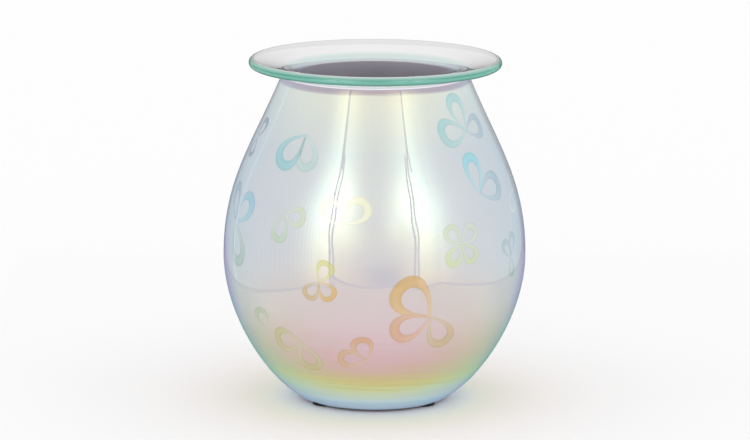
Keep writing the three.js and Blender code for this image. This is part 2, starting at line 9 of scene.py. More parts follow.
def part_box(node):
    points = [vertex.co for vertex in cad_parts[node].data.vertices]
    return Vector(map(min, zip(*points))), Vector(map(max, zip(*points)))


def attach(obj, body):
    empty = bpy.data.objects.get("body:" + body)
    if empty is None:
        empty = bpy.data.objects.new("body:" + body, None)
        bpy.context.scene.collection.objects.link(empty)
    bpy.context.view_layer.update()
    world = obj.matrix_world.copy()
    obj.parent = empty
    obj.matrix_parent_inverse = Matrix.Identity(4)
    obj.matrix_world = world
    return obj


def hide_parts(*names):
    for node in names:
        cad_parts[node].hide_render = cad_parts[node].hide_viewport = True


# Electric oil burner: a lustred glass shade on a black housing, with a clear dish on its mouth.
# Sizes are in millimetres and degrees; mm turns them into scene metres.
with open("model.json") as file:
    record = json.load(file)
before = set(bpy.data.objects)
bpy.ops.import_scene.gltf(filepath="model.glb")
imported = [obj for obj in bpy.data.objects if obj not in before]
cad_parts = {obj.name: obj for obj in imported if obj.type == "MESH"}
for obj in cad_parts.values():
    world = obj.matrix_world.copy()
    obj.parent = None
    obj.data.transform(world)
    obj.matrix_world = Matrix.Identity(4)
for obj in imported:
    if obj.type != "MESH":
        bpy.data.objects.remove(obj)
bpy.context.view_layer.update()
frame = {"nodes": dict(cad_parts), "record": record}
nodes = frame["nodes"]
mm = 0.001
print("frame loaded")


def colour(code):
    # sRGB hex to the linear RGBA of a shader
    channels = [int(code[i : i + 2], 16) / 255 for i in (0, 2, 4)]
    return [c / 12.92 if c <= 0.04045 else ((c + 0.055) / 1.055) ** 2.4 for c in channels] + [1.0]


def addNode(tree, kind, settings, links=None):
    node = tree.nodes.new(kind)
    for name, value in settings.items():
        if name == "stops":
            elements = node.color_ramp.elements
            while len(elements) < len(value):
                elements.new(0.5)
            for element, (place, code) in zip(elements, value):
                element.position = place
                element.color = colour(code) if isinstance(code, str) else [code, code, code, 1.0]
        elif isinstance(name, str) and hasattr(node, name):
            setattr(node, name, value)
        else:
            node.inputs[name].default_value = value
    for name, socket in (links or {}).items():
        tree.links.new(socket, node.inputs[name])
    return node


def newMaterial(name, settings):
    # One Principled surface, with the settings on its own sockets
    material = bpy.data.materials.new(name)
    material.use_nodes = True
    tree = material.node_tree
    tree.nodes.clear()
    shader = addNode(tree, "ShaderNodeBsdfPrincipled", settings)
    output = addNode(tree, "ShaderNodeOutputMaterial", {}, {"Surface": shader.outputs[0]})
    return material, tree, shader, output


def gridObject(name, points, material, wrapRows=False, wrapColumns=False):
    # Quads over points [row, column]; a row that is one point repeated closes as a pole
    rows, columns = points.shape[:2]
    index = np.arange(rows * columns).reshape(rows, columns)
    poles = np.ptp(points, axis=1).max(axis=1) < 1e-9
    index[poles] = index[poles][:, :1]
    kept, index = np.unique(index, return_inverse=True)
    index = index.reshape(rows, columns)
    if wrapRows:
        index = np.vstack([index, index[:1]])
    if wrapColumns:
        index = np.hstack([index, index[:, :1]])
    quads = np.stack([index[:-1, :-1], index[:-1, 1:], index[1:, 1:], index[1:, :-1]], axis=-1)
    faces = [list(dict.fromkeys(face)) for face in quads.reshape(-1, 4).tolist()]
    mesh = bpy.data.meshes.new(name)
    mesh.from_pydata((points.reshape(-1, 3)[kept] * mm).tolist(), [], faces)
    mesh.polygons.foreach_set("use_smooth", np.ones(len(mesh.polygons), bool))
    mesh.materials.append(material)
    piece = bpy.data.objects.new(name, mesh)
    bpy.context.collection.objects.link(piece)
    return piece


def spin(line, columns):
    # Points of a [radius, height] line at equal bearings round Z
    turn = np.linspace(0, 2 * np.pi, columns, endpoint=False)
    radius, height = line[:, :1], line[:, 1:]
    return np.stack([radius * np.cos(turn), radius * np.sin(turn), height + 0 * turn], axis=-1)


def bezier(points, steps):
    # A cubic curve from its two ends and the two handles between them
    t = np.linspace(0, 1, steps + 1)[:, None]
    a, b, c, d = [np.array(point, float) for point in points]
    return (1 - t) ** 3 * a + 3 * t * (1 - t) ** 2 * b + 3 * t**2 * (1 - t) * c + t**3 * d


def sideways(line, distance):
    # The line moved to its left by a distance
    tangent = np.gradient(line, axis=0)
    tangent /= np.linalg.norm(tangent, axis=1)[:, None]
    return line + distance * np.stack([-tangent[:, 1], tangent[:, 0]], axis=1)


def fillIn(corners, step, near):
    # Straight lines between corners, with a point near each corner to keep it crisp
    line = []
    for a, b in zip(corners[:-1], corners[1:]):
        length = math.dist(a, b)
        places = np.linspace(0, length, max(2, math.ceil(length / step) + 1))[:-1]
        close = min(near, length / 3)
        places = np.unique(np.concatenate([places, [close, length - close]]))
        line.append(np.array(a) + places[:, None] / length * (np.array(b) - np.array(a)))
    return np.vstack(line)


# Materials

noiseSpan = (0.3, 0.7)  # nearly all of a noise pattern lies between these
solidCrease = math.radians(32)  # edges sharper than this stay crisp
glassCrease = math.radians(40)

# Pearl lustre fired onto blown glass: a milky body under a mirror-like layer of metal oxide with a
# clear skin a few hundred nanometres thick. The skin's thickness and the angle tint the mirror. The
# firing leaves the body's tints in bands by height, broken by faint level streaks that fade towards
# the rim. Low down these tints are painted lighter, as painted light against the shade near the
# table, and the mauve band at the very top is a painted reflection of the dish's underside. A cool
# bloom lies where the wall turns away, another along the very edge, and a thin coat over all. Each
# list goes by height. Sizes are in mm, the skin and the streaks' depth in it in nm, and slant says
# how far the wall has turned away.
lustre = {
    "top": 136.0,
    "thickest": 400.0,
    "skin": [
        (1, 215),
        (8, 265),
        (16, 308),
        (26, 328),
        (40, 306),
        (57, 262),
        (68, 228),
        (85, 208),
        (110, 203),
        (134, 228),
    ],
    # body tints by height: lighter low down as painted light against the shade near the table; the last mauve
    # stop is a painted reflection of the dish's underside
    "body": [
        (2.5, "F4EEFE"),
        (4.4, "DEF0FE"),
        (6.6, "FEFEF8"),
        (8.4, "FEFAD4"),
        (11.4, "FCF0AC"),
        (14, "F6DE84"),
        (16.6, "F4D08E"),
        (20.5, "F2BEB6"),
        (26, "F0BECA"),
        (34, "ECCAD2"),
        (45, "EAD8DE"),
        (70, "E3DDE4"),
        (110, "E4E2E3"),
        (132.8, "F4F2E6"),
        (133.6, "BEACBE"),
    ],
    "slantBloom": [
        (3, "A0B8CC"),
        (9, "60B8F4"),
        (14, "48D0E8"),
        (20, "40ECA8"),
        (28, "60D480"),
        (40, "90C4A0"),
        (60, "A8C8C8"),
        (90, "C2C8D6"),
    ],
    "edgeBloom": [
        (4, "7C90BC"),
        (10, "60A0D0"),
        (15, "58C0C0"),
        (23, "54C0AC"),
        (33, "68B0A8"),
        (45, "7494BC"),
        (60, "9084B8"),
        (80, "8C9EB0"),
        (110, "A2A6B4"),
    ],
    "slant": (0.6, 0.8),
    "streakWidth": 40.0,
    "streakHeight": 1.2,
    "streakDepth": 10.0,
    "streakShift": 1.6,
    "streakFade": (100.0, 130.0),
    "streakRest": 0.25,
}
lustreGlass, lustreNodes, lustreShader = newMaterial(
    "pearl lustre on blown glass",
    {
        "Roughness": 0.03,
        "IOR": 2.2,
        "Thin Film IOR": 1.33,
        "Sheen Weight": 1.0,
        "Sheen Roughness": 0.6,
        "Coat Weight": 1.0,
        "Coat Roughness": 0.03,
        "Coat IOR": 1.02,
        "Coat Tint": colour("F5F9F9"),
    },
)[:3]
lustrePlace = addNode(lustreNodes, "ShaderNodeTexCoord", {})
axes = addNode(lustreNodes, "ShaderNodeSeparateXYZ", {}, {0: lustrePlace.outputs["Object"]})
streakScale = [1 / (lustre[key] * mm) for key in ("streakWidth", "streakWidth", "streakHeight")]
streakPlace = addNode(
    lustreNodes,
    "ShaderNodeMapping",
    {"vector_type": "POINT", "Scale": streakScale},
    {"Vector": lustrePlace.outputs["Object"]},
)
streaks = addNode(
    lustreNodes, "ShaderNodeTexNoise", {"Scale": 1.0, "Detail": 2.0}, {"Vector": streakPlace.outputs[0]}
)
streakShift = addNode(
    lustreNodes,
    "ShaderNodeMapRange",
    {
        "From Min": noiseSpan[0],
        "From Max": noiseSpan[1],
        "To Min": -lustre["streakShift"] * mm,
        "To Max": lustre["streakShift"] * mm,
    },
    {"Value": streaks.outputs["Fac"]},
)
streakFade = addNode(
    lustreNodes,
    "ShaderNodeMapRange",
    {
        "From Min": lustre["streakFade"][0] * mm,
        "From Max": lustre["streakFade"][1] * mm,
        "To Min": 1.0,
        "To Max": lustre["streakRest"],
    },
    {"Value": axes.outputs["Z"]},
)
streakedHeight = addNode(
    lustreNodes,
    "ShaderNodeMath",
    {"operation": "MULTIPLY_ADD"},
    {0: streakShift.outputs[0], 1: streakFade.outputs[0], 2: axes.outputs["Z"]},
)
share = addNode(
    lustreNodes,
    "ShaderNodeMapRange",
    {"From Min": 0.0, "From Max": lustre["top"] * mm},
    {"Value": streakedHeight.outputs[0]},
)
skinShares = [(level, skin / lustre["thickest"]) for level, skin in lustre["skin"]]
bodyRampWithPaintedLight, slantRamp, edgeRamp, skinRamp = [
    addNode(
        lustreNodes,
        "ShaderNodeValToRGB",
        {"stops": [(level / lustre["top"], value) for level, value in stops]},
        {"Fac": share.outputs[0]},
    )
    for stops in (lustre["body"], lustre["slantBloom"], lustre["edgeBloom"], skinShares)
]
glance = addNode(lustreNodes, "ShaderNodeLayerWeight", {"Blend": 0.5})
slant = addNode(
    lustreNodes,
    "ShaderNodeMapRange",
    {"From Min": lustre["slant"][0], "From Max": lustre["slant"][1]},
    {"Value": glance.outputs["Facing"]},
)
bloom = addNode(
    lustreNodes,
    "ShaderNodeMix",
    {"data_type": "RGBA"},
    {"Factor": slant.outputs[0], 6: slantRamp.outputs["Color"], 7: edgeRamp.outputs["Color"]},
)
streakDepth = addNode(
    lustreNodes,
    "ShaderNodeMapRange",
    {"To Min": -lustre["streakDepth"], "To Max": lustre["streakDepth"]},
    {"Value": streaks.outputs["Fac"]},
)
skinDepth = addNode(
    lustreNodes,
    "ShaderNodeMath",
    {"operation": "MULTIPLY_ADD", 1: lustre["thickest"]},
    {0: skinRamp.outputs["Color"], 2: streakDepth.outputs[0]},
)
lustreNodes.links.new(bodyRampWithPaintedLight.outputs["Color"], lustreShader.inputs["Base Color"])
lustreNodes.links.new(bloom.outputs[2], lustreShader.inputs["Sheen Tint"])
lustreNodes.links.new(skinDepth.outputs[0], lustreShader.inputs["Thin Film Thickness"])

# Printed lustre: a thin transparent enamel, less mirror-like than the ground round it.
petalLustre, petalNodes, petalShader = newMaterial(
    "printed lustre enamel",
    {"Roughness": 0.06, "IOR": 1.6},
)[:3]
petalTint = addNode(petalNodes, "ShaderNodeAttribute", {"attribute_name": "petalTint"})
petalNodes.links.new(petalTint.outputs["Color"], petalShader.inputs["Base Color"])

# Inside of the shade and its rim: bare blown glass over the back of the lustre, a pale lilac that little
# light reaches. It is painted paler than that back looks, as painted light for the light that comes in
# through the wall, and along the rim it is a painted highlight on the polished lip.
paleInsidePaintedLight = newMaterial(
    "back of the lustre",
    {"Base Color": colour("F6F2FC"), "Roughness": 0.15, "IOR": 1.5},
)[0]

# Float glass: clear through its thickness, green along its edge, and a little green where the pressed
# slope of the well makes the way through it longer. Its index is set below that of real glass for the
# look, so it hardly bends what is seen through it. Light on its way to what lies below, and what the
# shade mirrors, go straight through, so that both are as bright as under a real sheet.
floatGlass, floatNodes, floatShader, floatOutput = newMaterial(
    "float glass",
    {"Roughness": 0.0, "IOR": 1.1, "Transmission Weight": 1.0},
)
floatPlace = addNode(floatNodes, "ShaderNodeTexCoord", {})
floatUp = addNode(floatNodes, "ShaderNodeSeparateXYZ", {}, {0: floatPlace.outputs["Normal"]})
floatLevel = addNode(floatNodes, "ShaderNodeMath", {"operation": "ABSOLUTE"}, {0: floatUp.outputs["Z"]})
slopeTints = [(0.82, "B4CAC6"), (0.9, "CCDAD6"), (0.96, "EAEAEA")]
floatTone = addNode(floatNodes, "ShaderNodeValToRGB", {"stops": slopeTints}, {"Fac": floatLevel.outputs[0]})
floatNodes.links.new(floatTone.outputs["Color"], floatShader.inputs["Base Color"])
floatPath = addNode(floatNodes, "ShaderNodeLightPath", {})
floatLit = addNode(
    floatNodes,
    "ShaderNodeMath",
    {"operation": "MAXIMUM"},
    {0: floatPath.outputs["Is Shadow Ray"], 1: floatPath.outputs["Is Diffuse Ray"]},
)
floatMirrored = addNode(
    floatNodes,
    "ShaderNodeMath",
    {"operation": "MAXIMUM"},
    {0: floatLit.outputs[0], 1: floatPath.outputs["Is Glossy Ray"]},
)
floatClear = addNode(floatNodes, "ShaderNodeBsdfTransparent", {"Color": colour("FFFFFF")})
floatMix = addNode(
    floatNodes,
    "ShaderNodeMixShader",
    {},
    {0: floatMirrored.outputs[0], 1: floatShader.outputs[0], 2: floatClear.outputs[0]},
)
floatNodes.links.new(floatMix.outputs[0], floatOutput.inputs["Surface"])

# The dish's edge, ground to a half round: fine scratches from the wheel scatter the green light that
# runs inside the sheet. The green is the glass's own; how light it is goes by which way the surface
# faces: darker facing down as painted shade, paler facing up as painted light, and a lighter band
# where it faces level as a painted highlight.
groundEdge, edgeNodes, edgeShader, edgeOutput = newMaterial(
    "ground edge of float glass",
    {"Roughness": 0.12, "IOR": 1.5, "Transmission Weight": 0.2},
)
edgePlace = addNode(edgeNodes, "ShaderNodeTexCoord", {})
edgeUp = addNode(edgeNodes, "ShaderNodeSeparateXYZ", {}, {0: edgePlace.outputs["Normal"]})
edgeTurn = addNode(
    edgeNodes, "ShaderNodeMapRange", {"From Min": -1.0, "From Max": 1.0}, {"Value": edgeUp.outputs["Z"]}
)
# by facing, from down to up: painted shade below, a painted highlight at the level, painted light on top
edgeTintsAndShade = [
    (0.15, "4A8A7E"),
    (0.35, "6CB8A4"),
    (0.5, "74C0AC"),
    (0.62, "5CAE98"),
    (0.8, "94CCBE"),
    (0.95, "B8D4CC"),
    (0.985, "E6EAE8"),
]
edgeToneAndShade = addNode(edgeNodes, "ShaderNodeValToRGB", {"stops": edgeTintsAndShade}, {"Fac": edgeTurn.outputs[0]})
edgeNodes.links.new(edgeToneAndShade.outputs["Color"], edgeShader.inputs["Base Color"])
edgeSide = addNode(edgeNodes, "ShaderNodeNewGeometry", {})
edgeInside = addNode(edgeNodes, "ShaderNodeBsdfTransparent", {"Color": colour("F4F4F4")})
edgeMix = addNode(
    edgeNodes,
    "ShaderNodeMixShader",
    {},
    {0: edgeSide.outputs["Backfacing"], 1: edgeShader.outputs[0], 2: edgeInside.outputs[0]},
)
edgeNodes.links.new(edgeMix.outputs[0], edgeOutput.inputs["Surface"])

# Pressed lamp glass: clear, with a soft gloss.
lampGlass = newMaterial(
    "pressed lamp glass",
    {"Base Color": colour("F4F7F8"), "Roughness": 0.05, "IOR": 1.5, "Transmission Weight": 1.0},
)[0]


def grainedMaterial(name, dark, light, gloss, grain, relief, settings):
    # A fine mottle of two near colours that also varies the gloss and lifts the surface a little;
    # grain is its size and relief its depth, both in mm
    material, tree, shader = newMaterial(name, settings)[:3]
    spot = addNode(tree, "ShaderNodeTexCoord", {})
    mottle = addNode(
        tree,
        "ShaderNodeTexNoise",
        {"Scale": 1 / (grain * mm), "Detail": 3.0},
        {"Vector": spot.outputs["Object"]},
    )
    tones = list(zip(noiseSpan, (dark, light)))
    tone = addNode(tree, "ShaderNodeValToRGB", {"stops": tones}, {"Fac": mottle.outputs["Fac"]})
    rough = addNode(
        tree, "ShaderNodeMapRange", {"To Min": gloss[0], "To Max": gloss[1]}, {"Value": mottle.outputs["Fac"]}
    )
    bump = addNode(
        tree, "ShaderNodeBump", {"Strength": 0.6, "Distance": relief * mm}, {"Height": mottle.outputs["Fac"]}
    )
    tree.links.new(tone.outputs["Color"], shader.inputs["Base Color"])
    tree.links.new(rough.outputs[0], shader.inputs["Roughness"])
    tree.links.new(bump.outputs[0], shader.inputs["Normal"])
    return material


metal = {"Metallic": 1.0}
# Injection-moulded polypropylene with a spark-eroded grain: an even, slightly grey black.
blackPlastic = grainedMaterial("black polypropylene", "131316", "1C1C20", (0.38, 0.52), 0.5, 0.03, {})
# Moulded rubber: dull, with a dusty bloom.
blackRubber = grainedMaterial("black rubber", "0E0E10", "1A1A1C", (0.65, 0.85), 0.8, 0.02, {})
# Cast silicone: milky and soft to the light.
silicone = grainedMaterial("translucent silicone", "D2D2CC", "DEDED9", (0.42, 0.55), 1.5, 0.01, {})
# Cold-rolled spring steel: bright, with fine rolling marks.
springSteel = grainedMaterial("rolled spring steel", "B2B5BA", "C2C5C9", (0.2, 0.34), 0.35, 0.004, metal)
# Zinc plating: a bluish grey with a faint spangle.
zincSteel = grainedMaterial("zinc-plated steel", "9EA3AA", "B6BABF", (0.28, 0.44), 1.2, 0.004, metal)
# Fired steatite: off-white, with a dry, slightly sandy skin.
ceramic = grainedMaterial("steatite ceramic", "E1DED4", "EFECE4", (0.42, 0.6), 0.4, 0.015, {})
# Turned brass: warm, with fine tool marks.
brass = grainedMaterial("turned brass", "BE9742", "CFAA55", (0.22, 0.36), 0.3, 0.004, metal)
# Moulded nylon: a warm, waxy white.
whitePlastic = grainedMaterial("white nylon", "DFDDD4", "E9E7E0", (0.38, 0.5), 0.6, 0.015, {})
# Silicone sleeve over stranded wire: matt, a little dusty.
brownLead = grainedMaterial("brown silicone sleeve", "52301D", "613A25", (0.45, 0.6), 0.5, 0.01, {})
blueLead = grainedMaterial("blue silicone sleeve", "26548F", "3062AB", (0.45, 0.6), 0.5, 0.01, {})
# Aluminised glass, pressed with small dimples that spread the lamp's beam.
lampMirror = grainedMaterial("aluminised glass", "D3D5D8", "DFE1E3", (0.05, 0.12), 2.4, 0.25, metal)

slotMaterials = {
    "lustre_glass": lustreGlass,
    "float_glass": floatGlass,
    "black_plastic": blackPlastic,
    "black_rubber": blackRubber,
    "silicone": silicone,
    "spring_steel": springSteel,
    "zinc_steel": zincSteel,
    "ceramic": ceramic,
    "brass": brass,
    "white_plastic": whitePlastic,
    "brown_lead": brownLead,
    "blue_lead": blueLead,
    "lamp_mirror": lampMirror,
    "lamp_glass": lampGlass,
}
for subpart in frame["record"]["subparts"]:
    mesh = nodes[subpart["node"]].data
    mesh.materials.clear()
    mesh.materials.append(slotMaterials[subpart["material_slot"]])
    mesh.polygons.foreach_set("use_smooth", np.ones(len(mesh.polygons), bool))
    mesh.set_sharp_from_angle(angle=solidCrease)
print("materials made")

# Glass shade: an egg cut off at both ends. Its wall is two cubic curves that meet upright at the
# belly, spun round Z; the inside is the same line moved in by the wall, and the rim is half round.
shadeLow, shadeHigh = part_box("glass_shade")
shade = {
    "base": shadeLow[2] / mm,
    "height": (shadeHigh[2] - shadeLow[2]) / mm,
    "belly": shadeHigh[0] / mm,
    "bellyHeight": 59.4,
    "rim": 38.8,
    "foot": 30.8,
    "wall": 3.0,
    "footFlare": math.radians(29.4),
    "rimLean": math.radians(22.3),
    "footPull": 16.8,
    "lowerPull": 24.8,
    "upperPull": 30.8,
    "rimPull": 30.0,
    "ring": 1.7,
    "hole": 24.6,
    "recess": 3.7,
    "ledgeGap": 0.3,
    "notch": 4.6,
    "notchHeight": 7.3,
    "notchDrop": 20.0,
    "notchReach": (20.0, 60.0),
    "columns": 320,
    "lowerRows": 60,
    "upperRows": 76,
    "rimRows": 14,
    "archSteps": 24,
    "footStep": 1.5,
    "crisp": 0.1,
}
rimEdge = shade["height"] - shade["wall"] / 2 * (1 - math.sin(shade["rimLean"]))
lowerWall = bezier(
    [
        (shade["foot"], 0),
        (
            shade["foot"] + shade["footPull"] * math.cos(shade["footFlare"]),
            shade["footPull"] * math.sin(shade["footFlare"]),
        ),
        (shade["belly"], shade["bellyHeight"] - shade["lowerPull"]),
        (shade["belly"], shade["bellyHeight"]),
    ],
    shade["lowerRows"],
)
upperWall = bezier(
    [
        (shade["belly"], shade["bellyHeight"]),
        (shade["belly"], shade["bellyHeight"] + shade["upperPull"]),
        (
            shade["rim"] + shade["rimPull"] * math.sin(shade["rimLean"]),
            rimEdge - shade["rimPull"] * math.cos(shade["rimLean"]),
        ),
        (shade["rim"], rimEdge),
    ],
    shade["upperRows"],
)
outerWall = np.vstack([lowerWall, upperWall[1:]])
innerWall = sideways(outerWall, shade["wall"])
rimMiddle = (outerWall[-1] + innerWall[-1]) / 2
rimTurn = shade["rimLean"] + np.linspace(0, np.pi, shade["rimRows"])[1:-1]
rimArc = rimMiddle + shade["wall"] / 2 * np.stack([np.cos(rimTurn), np.sin(rimTurn)], axis=1)
ledge = shade["recess"] + shade["wall"]
innerLine = innerWall[innerWall[:, 1] > ledge + shade["ledgeGap"]][::-2]  # every second row, downwards
footLine = fillIn(
    [
        (np.interp(ledge, innerWall[:, 1], innerWall[:, 0]), ledge),
        (shade["hole"], ledge),
        (shade["hole"], shade["recess"]),
        (shade["foot"] - shade["ring"], shade["recess"]),
        (shade["foot"] - shade["ring"], 0),
        (shade["foot"], 0),
    ],
    shade["footStep"],
    shade["crisp"],
)
shadeLine = np.vstack([outerWall, rimArc, innerLine, footLine]) + [0, shade["base"]]
glassShade = gridObject(
    "shade", spin(shadeLine, shade["columns"]), lustreGlass, wrapRows=True, wrapColumns=True
)
glassShade.data.materials.append(paleInsidePaintedLight)
# the rim and all inside it take the pale inside glass: painted light inside, a painted highlight on the lip
insideRows = np.zeros(len(shadeLine), np.int32)
insideRows[len(outerWall) + 1 :] = 1
glassShade.data.polygons.foreach_set("material_index", np.repeat(insideRows, shade["columns"]))

# Notch for the cord bush: a cutter with an arched top, pulled along Y through the back of the wall.
arch = np.linspace(0, np.pi, shade["archSteps"])
archLine = shade["notch"] * np.stack([np.cos(arch), np.sin(arch)], axis=1)
archFoot = [(side * shade["notch"], -shade["notchDrop"]) for side in (-1, 1)]
archLine = np.vstack([archLine, archFoot])
cutterRows = [
    np.stack(
        [archLine[:, 0], 0 * archLine[:, 0] + depth, archLine[:, 1] + shade["base"] + shade["notchHeight"]],
        axis=1,
    )
    for depth in shade["notchReach"]
]
ends = [np.repeat(row.mean(axis=0)[None], len(row), axis=0) for row in cutterRows]
cutter = gridObject(
    "notch cutter",
    np.stack([ends[0], *cutterRows, ends[1]]),
    lustreGlass,
    wrapColumns=True,
)
boolean = glassShade.modifiers.new("notch", "BOOLEAN")
boolean.object = cutter
boolean.operation = "DIFFERENCE"
boolean.solver = "EXACT"
bpy.context.view_layer.update()
notched = bpy.data.meshes.new_from_object(glassShade.evaluated_get(bpy.context.evaluated_depsgraph_get()))
glassShade.modifiers.clear()
glassShade.data = notched
bpy.data.objects.remove(cutter)
notched.set_sharp_from_angle(angle=glassCrease)
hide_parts("glass_shade")
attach(glassShade, "stand")
print("shade made")

# Oil dish: a round sheet that sagged into a well. The underside is flat, climbs an S-shaped slope
# and goes on up to the edge; the top is the same line a sheet's thickness higher. Along the brim the
# underside swells by the square of the way out, and the edge is half round.
dishLow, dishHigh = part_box("oil_dish")
dish = {
    "base": dishLow[2] / mm,
    "radius": 52.3,
    "thickness": 3.1,
    "wellInset": 5.0,
    "ramp": 8.0,
    "depth": 3.8,
    "rise": 3.0,
    "swell": 0.6,
    "columns": 240,
    "flatRows": 20,
    "rampRows": 24,
    "brimRows": 16,
    "edgeRows": 20,
}
wellRadius = innerWall[-1, 0] - dish["wellInset"]
dishSlope = math.atan2(dish["rise"], dish["radius"] - wellRadius - dish["ramp"])
along = np.array([math.cos(dishSlope), math.sin(dishSlope)])
across = np.array([-along[1], along[0]])
rampEnd = np.array([wellRadius + dish["ramp"], dish["depth"]])
ramp = bezier(
    [
        (wellRadius, 0),
        (wellRadius + dish["ramp"] / 2, 0),
        rampEnd - dish["ramp"] / 2 * along,
        rampEnd,
    ],
    dish["rampRows"],
)
edgeRadius = (dish["thickness"] + dish["swell"]) / 2
edgeStart = np.array([dish["radius"], dish["depth"] + dish["rise"]]) - edgeRadius * along
brim = np.linspace(ramp[-1], edgeStart, dish["brimRows"])[1:]
flat = np.linspace((0, 0), (wellRadius, 0), dish["flatRows"])[:-1]
underLine = np.vstack([flat, ramp, brim])
overLine = sideways(underLine, dish["thickness"])
overLine[0, 0] = 0
underLine[-len(brim) :] -= dish["swell"] * np.linspace(0, 1, len(brim))[:, None] ** 2 * across
roundTurn = dishSlope + np.linspace(-np.pi / 2, np.pi / 2, dish["edgeRows"])[1:-1]
edgeMiddle = overLine[-1] - edgeRadius * across
edgeArc = edgeMiddle + edgeRadius * np.stack([np.cos(roundTurn), np.sin(roundTurn)], axis=1)
dishLine = np.vstack([underLine, edgeArc, overLine[::-1]]) + [0, dish["base"]]
oilDish = gridObject("dish", spin(dishLine, dish["columns"]), floatGlass, wrapColumns=True)
oilDish.data.materials.append(groundEdge)
groundRows = np.zeros(len(dishLine) - 1, np.int32)
groundRows[len(underLine) - 1 : len(underLine) + len(edgeArc)] = 1
oilDish.data.polygons.foreach_set("material_index", np.repeat(groundRows, dish["columns"]))
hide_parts("oil_dish")
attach(oilDish, "dish")
print("dish made")

# Ornament: blossoms of one to four loops round a point. A loop is a drop-shaped ribbon: along its axis
# a = length (1 - cos t) / 2, and across it c = width sin t sin(t / 2) / fullest, which makes it as wide
# as its width says, less a smaller drop inside it; both are laid on the wall by bearing and by distance
# along the wall. Each blossom has its bearing and its height, and each loop its lean from upright, its
# length, width and tint. The back of the shade has the same blossoms, half a turn on.
petal = {
    "lift": 0.05,
    "gap": 0.01,
    "apart": 0.12,
    "fullest": 1.54,
    "steps": 72,
    "bands": 5,
    "start": 0.07,
    "hole": 0.7,
    "holeWidth": 0.56,
    "fade": 0.2,
    "outline": 0.1,
    "turns": (0, 180),
}
blossoms = [
    (22, 46, [(-45, 21, 17, "DCBA88"), (-115, 17.5, 13, "DDB298"), (148, 16.5, 12, "D2BA98")]),
    (52, 117, [(-6, 16.5, 10, "B8DCDC"), (-88, 15, 12.5, "B4D8D8"), (84, 13, 10.8, "B4C8D8")]),
    (48, 93, [(0, 17.3, 10, "A4DAE4"), (80, 16, 12.5, "B0CAD8")]),
    (-36, 117, [(-143, 18.5, 13, "A6D0D6"), (163, 16, 10, "C4DAD6")]),
    (-69, 78, [(-24, 17, 8, "A8C0D6"), (46, 17, 12, "A8CEDC"), (152, 19, 12, "B8CCC8")]),
    (-21, 60.5, [(27, 9.4, 8, "D9D598"), (138, 9.2, 7.8, "DEBC84"), (-142, 9, 7.2, "D2BE9A")]),
    (-31, 33, [(-88, 14, 12, "C8C096"), (172, 14, 11.5, "C8C094")]),
    (-3, 27, [(-14, 12, 9.5, "DAB090"), (-84, 12, 9.5, "D8B496")]),
    (
        35,
        74.5,
        [
            (-44, 10.4, 7.5, "D2DEC4"),
            (46, 10, 7.5, "D6DED2"),
            (-138, 10.5, 7.5, "D6E0B6"),
            (138, 9.8, 7.5, "D4DEBC"),
        ],
    ),
    (-37.5, 85.5, [(92, 10, 8.5, "D2DCC6"), (-166, 11.5, 8.5, "C6D8C6")]),
    (63, 65, [(-39, 9.3, 6, "B4CCD4"), (17, 10.3, 6, "B4CED4"), (169, 8.4, 5.5, "B6D0CC")]),
    (-76, 111, [(16, 9.4, 7, "A2B0C2"), (180, 8.5, 7, "A2B0C2")]),
    # this blossom lies in the lamps' highlight on the front; its print tints are paled towards it, a painted
    # highlight
    (-13, 84, [(48, 14, 11, "F2F2D6"), (-42, 12, 9.5, "F6F6E4")]),
    (72, 90, [(62, 14, 9, "D4DEE2"), (-161, 9.3, 7, "D4E0E2")]),
    (-47, 36, [(-28, 11, 9, "C0CAB2")]),
]
wallArc = np.concatenate([[0], np.cumsum(np.linalg.norm(np.diff(outerWall, axis=0), axis=1))])


def onWall(bearing, arc, lift):
    # Points at a bearing from the front and a distance up the wall, lifted off it
    wall = sideways(outerWall, -lift)
    radius = np.interp(arc, wallArc, wall[:, 0])
    height = np.interp(arc, wallArc, wall[:, 1]) + shade["base"]
    return np.stack([radius * np.sin(bearing), -radius * np.cos(bearing), height], axis=-1)


loopTurn = np.linspace(0, 2 * np.pi, petal["steps"], endpoint=False)
reach = (1 - np.cos(loopTurn)) / 2  # from the blossom's middle to the loop's far end
drop = np.stack([reach, np.sin(loopTurn) * np.sin(loopTurn / 2) / petal["fullest"]], axis=1)


def loopPoints(bearing, height, lean, length, width):
    # The ribbon's face in bands from its outer to its inner edge, then its underside
    outer = drop * [length, width] + [petal["apart"], 0]
    inner = drop * [length * petal["hole"], width * petal["holeWidth"]]
    inner += [petal["apart"] + length * petal["start"], 0]
    share = np.linspace(0, 1, petal["bands"])[:, None, None]
    flatPoints = outer + share * (inner - outer)
    tilt = math.radians(lean)
    aside = flatPoints[..., 0] * math.sin(tilt) + flatPoints[..., 1] * math.cos(tilt)
    upward = flatPoints[..., 0] * math.cos(tilt) - flatPoints[..., 1] * math.sin(tilt)
    arc = np.interp(height - shade["base"], outerWall[:, 1], wallArc) + upward
    around = math.radians(bearing) + aside / np.interp(arc, wallArc, outerWall[:, 0])
    face = onWall(around, arc, petal["lift"])
    underside = onWall(around[[-1, 0]], arc[[-1, 0]], petal["gap"])
    return np.concatenate([face, underside])


